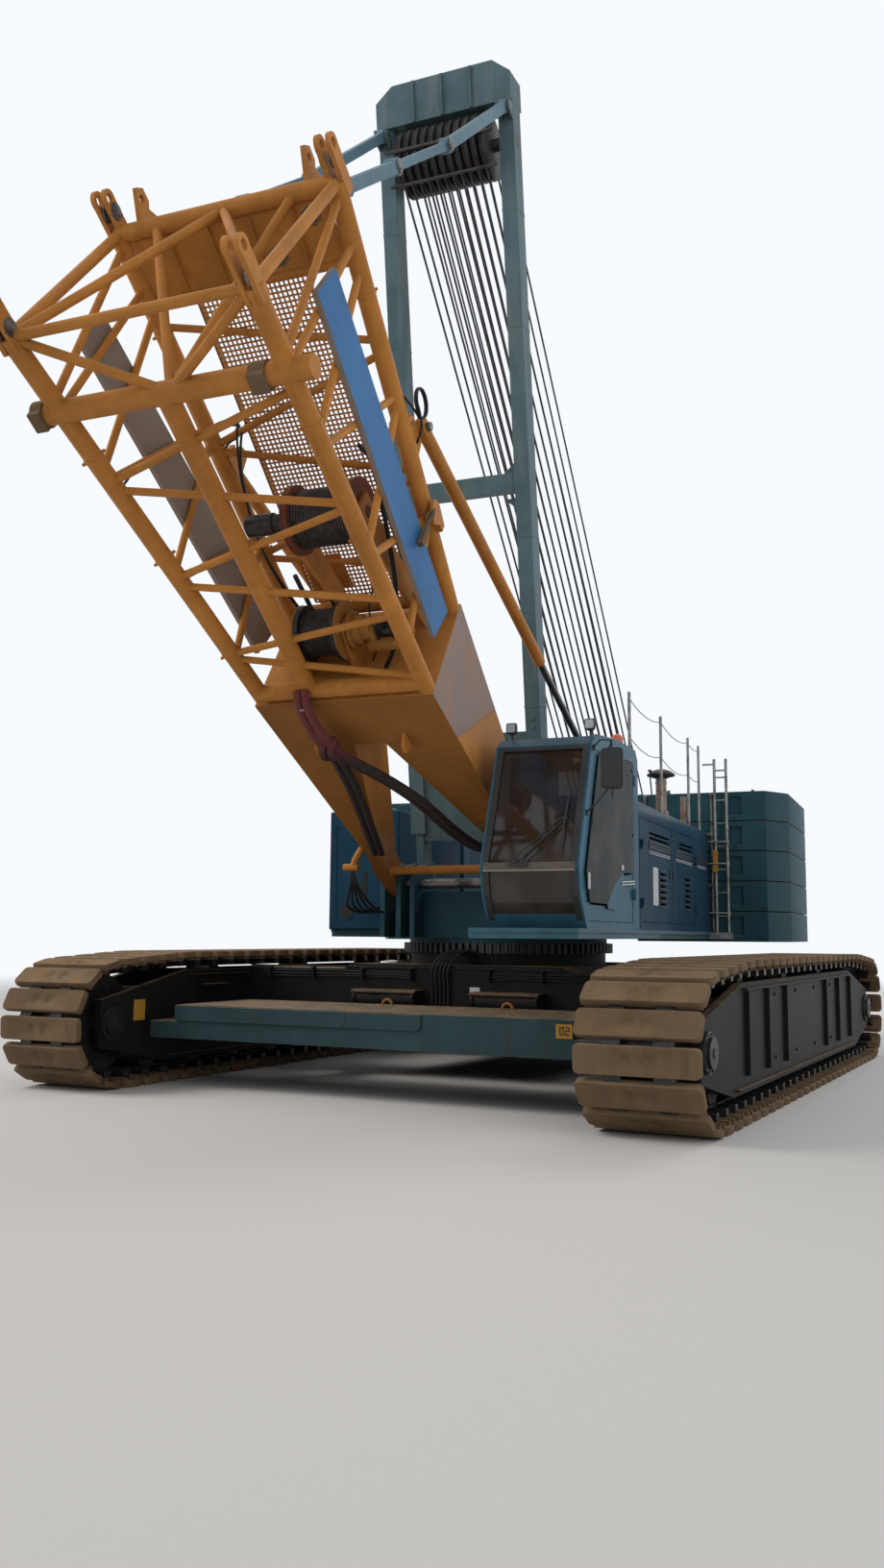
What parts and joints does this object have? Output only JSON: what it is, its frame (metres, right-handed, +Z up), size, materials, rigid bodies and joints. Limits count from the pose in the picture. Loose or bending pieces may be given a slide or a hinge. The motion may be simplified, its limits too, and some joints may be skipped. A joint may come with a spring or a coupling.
{
  "type": "crawler crane",
  "caption": "Crawler crane parked with its lattice boom's foot section raised, a rear A-frame mast, slewing deck, glazed cab, engine house and slab counterweights on two plate-shoe tracks.",
  "frame": {"origin": "on the ground under the slewing centre", "axes": "+Z up, tracks along Y with the front at -Y, +X towards the operator's cab"},
  "size_m": [8.4, 16.0873, 13.0424],
  "materials": {
    "track_shoe": "cast steel shoes, dusty tan",
    "undercarriage_paint": "near-black paint, dusty",
    "bare_steel": "worn bare steel",
    "ballast_paint": "teal paint under brown dust",
    "blue_paint": "teal-blue machine paint, satin",
    "counterweight_paint": "green-teal paint on cast slabs",
    "gantry_paint": "weathered grey-teal paint",
    "pendant_paint": "light blue paint",
    "boom_paint": "orange-yellow paint, chipped at edges",
    "board_paint": "bright blue plain board",
    "sheave_steel": "greased dark steel",
    "winch_red": "rust-red oxide paint",
    "cab_glass": "tinted cab glazing",
    "seat_fabric": "dark woven seat cover",
    "cab_plastic": "dark moulded plastic",
    "lamp_body": "lamp housings",
    "rail_steel": "galvanised tube",
    "pipe_paint": "orange heat-stained pipe",
    "engine_grey": "grey engine block"
  },
  "bodies": {
    "undercarriage": {"carbody": "undercarriage_paint", "carbody_jacks": "undercarriage_paint", "slewing_ring": "sheave_steel", "ballast_front": "ballast_paint", "ballast_rear": "ballast_paint", "track_frame_left": "undercarriage_paint", "track_frame_right": "undercarriage_paint", "end_wheels": "bare_steel", "drive_sprockets": "bare_steel", "track_rollers": "bare_steel", "travel_drives": "undercarriage_paint", "track_left": "track_shoe", "track_right": "track_shoe"},
    "superstructure": {"deck": "blue_paint", "foot_pins": "boom_paint", "cab_platform": "blue_paint", "cab_shell": "blue_paint", "cab_glass": "cab_glass", "operator_seat": "seat_fabric", "cab_console": "cab_plastic", "cab_lamps": "lamp_body", "mirror": "cab_plastic", "house_left": "blue_paint", "engine": "engine_grey", "intake_pipes": "pipe_paint", "house_right": "blue_paint", "roof_posts": "rail_steel", "rear_ladder": "rail_steel", "counterweight_left": "counterweight_paint", "counterweight_right": "counterweight_paint", "tail_block": "sheave_steel"},
    "cab_door": {"cab_door": "blue_paint", "door_glass": "cab_glass"},
    "house_door_front": {"house_door_front": "blue_paint"},
    "house_door_rear": {"house_door_rear": "blue_paint"},
    "hoist_drum": {"hoist_drum": "sheave_steel"},
    "gantry": {"gantry_frame": "gantry_paint", "gantry_head": "gantry_paint", "gantry_sheaves": "sheave_steel"},
    "pendants": {"pendants": "pendant_paint"},
    "boom": {"boom_foot_box": "boom_paint", "boom_lattice": "boom_paint", "boom_walkway": "boom_paint", "side_boards": "board_paint", "winch_frames": "boom_paint"},
    "upper_drum": {"upper_drum": "winch_red"},
    "lower_drum": {"lower_drum": "sheave_steel"},
    "backstop_tubes": {"backstop_tubes": "boom_paint"},
    "backstop_rods": {"backstop_rods": "bare_steel"}
  },
  "joints": [
    {"name": "slew", "type": "hinge", "parent": "undercarriage", "child": "superstructure", "pos_m": [0, 0, 1.73], "axis": [0, 0, 1], "continuous": true},
    {"name": "luff", "type": "hinge", "parent": "superstructure", "child": "boom", "pos_m": [0.15158, -1.49232, 2.5], "axis": [-0.9949, -0.1011, 0], "range_deg": [-34, 50]},
    {"name": "gantry_fold", "type": "hinge", "parent": "superstructure", "child": "gantry", "pos_m": [0.10611, -1.04462, 2.6], "axis": [-0.9949, -0.1011, 0], "range_deg": [-34, 50]},
    {"name": "pendant_pivot", "type": "hinge", "parent": "gantry", "child": "pendants", "pos_m": [0.27338, -2.69134, 12.33343], "axis": [-0.9949, -0.1011, 0], "range_deg": [-3, 3]},
    {"name": "backstop_pivot", "type": "hinge", "parent": "boom", "child": "backstop_tubes", "pos_m": [0.59821, -5.88925, 6.75088], "axis": [-0.9949, -0.1011, 0], "range_deg": [-10, 10]},
    {"name": "backstop_slide", "type": "slide", "parent": "backstop_tubes", "child": "backstop_rods", "axis": [-0.0939, 0.9245, -0.3694], "range_m": [-2.2, 1.5]},
    {"name": "upper_winch", "type": "hinge", "parent": "boom", "child": "upper_drum", "pos_m": [0.63005, -6.2027, 5.85109], "axis": [0.9949, 0.1011, 0], "continuous": true},
    {"name": "lower_winch", "type": "hinge", "parent": "boom", "child": "lower_drum", "pos_m": [0.54109, -5.32689, 4.94271], "axis": [0.9949, 0.1011, 0], "continuous": true},
    {"name": "hoist_winch", "type": "hinge", "parent": "superstructure", "child": "hoist_drum", "pos_m": [-0.19201, 1.89027, 2.56], "axis": [0.9949, 0.1011, 0], "continuous": true},
    {"name": "cab_door_hinge", "type": "hinge", "parent": "superstructure", "child": "cab_door", "pos_m": [2.57646, -2.11044, 2.9], "axis": [0, 0, 1], "range_deg": [0, 95]},
    {"name": "house_door_front_hinge", "type": "hinge", "parent": "superstructure", "child": "house_door_front", "pos_m": [2.49002, -1.55633, 2.7], "axis": [0, 0, -1], "range_deg": [0, 95]},
    {"name": "house_door_rear_hinge", "type": "hinge", "parent": "superstructure", "child": "house_door_rear", "pos_m": [2.13026, 1.98544, 2.7], "axis": [0, 0, 1], "range_deg": [0, 95]}
  ],
  "couplings": [
    {"joint": "gantry_fold", "follows": "luff", "ratio": 0.983},
    {"joint": "pendant_pivot", "follows": "luff", "ratio": -0.045},
    {"joint": "backstop_pivot", "follows": "luff", "ratio": -0.18},
    {"joint": "backstop_slide", "follows": "luff", "m_per_rad": -2.4064}
  ]
}
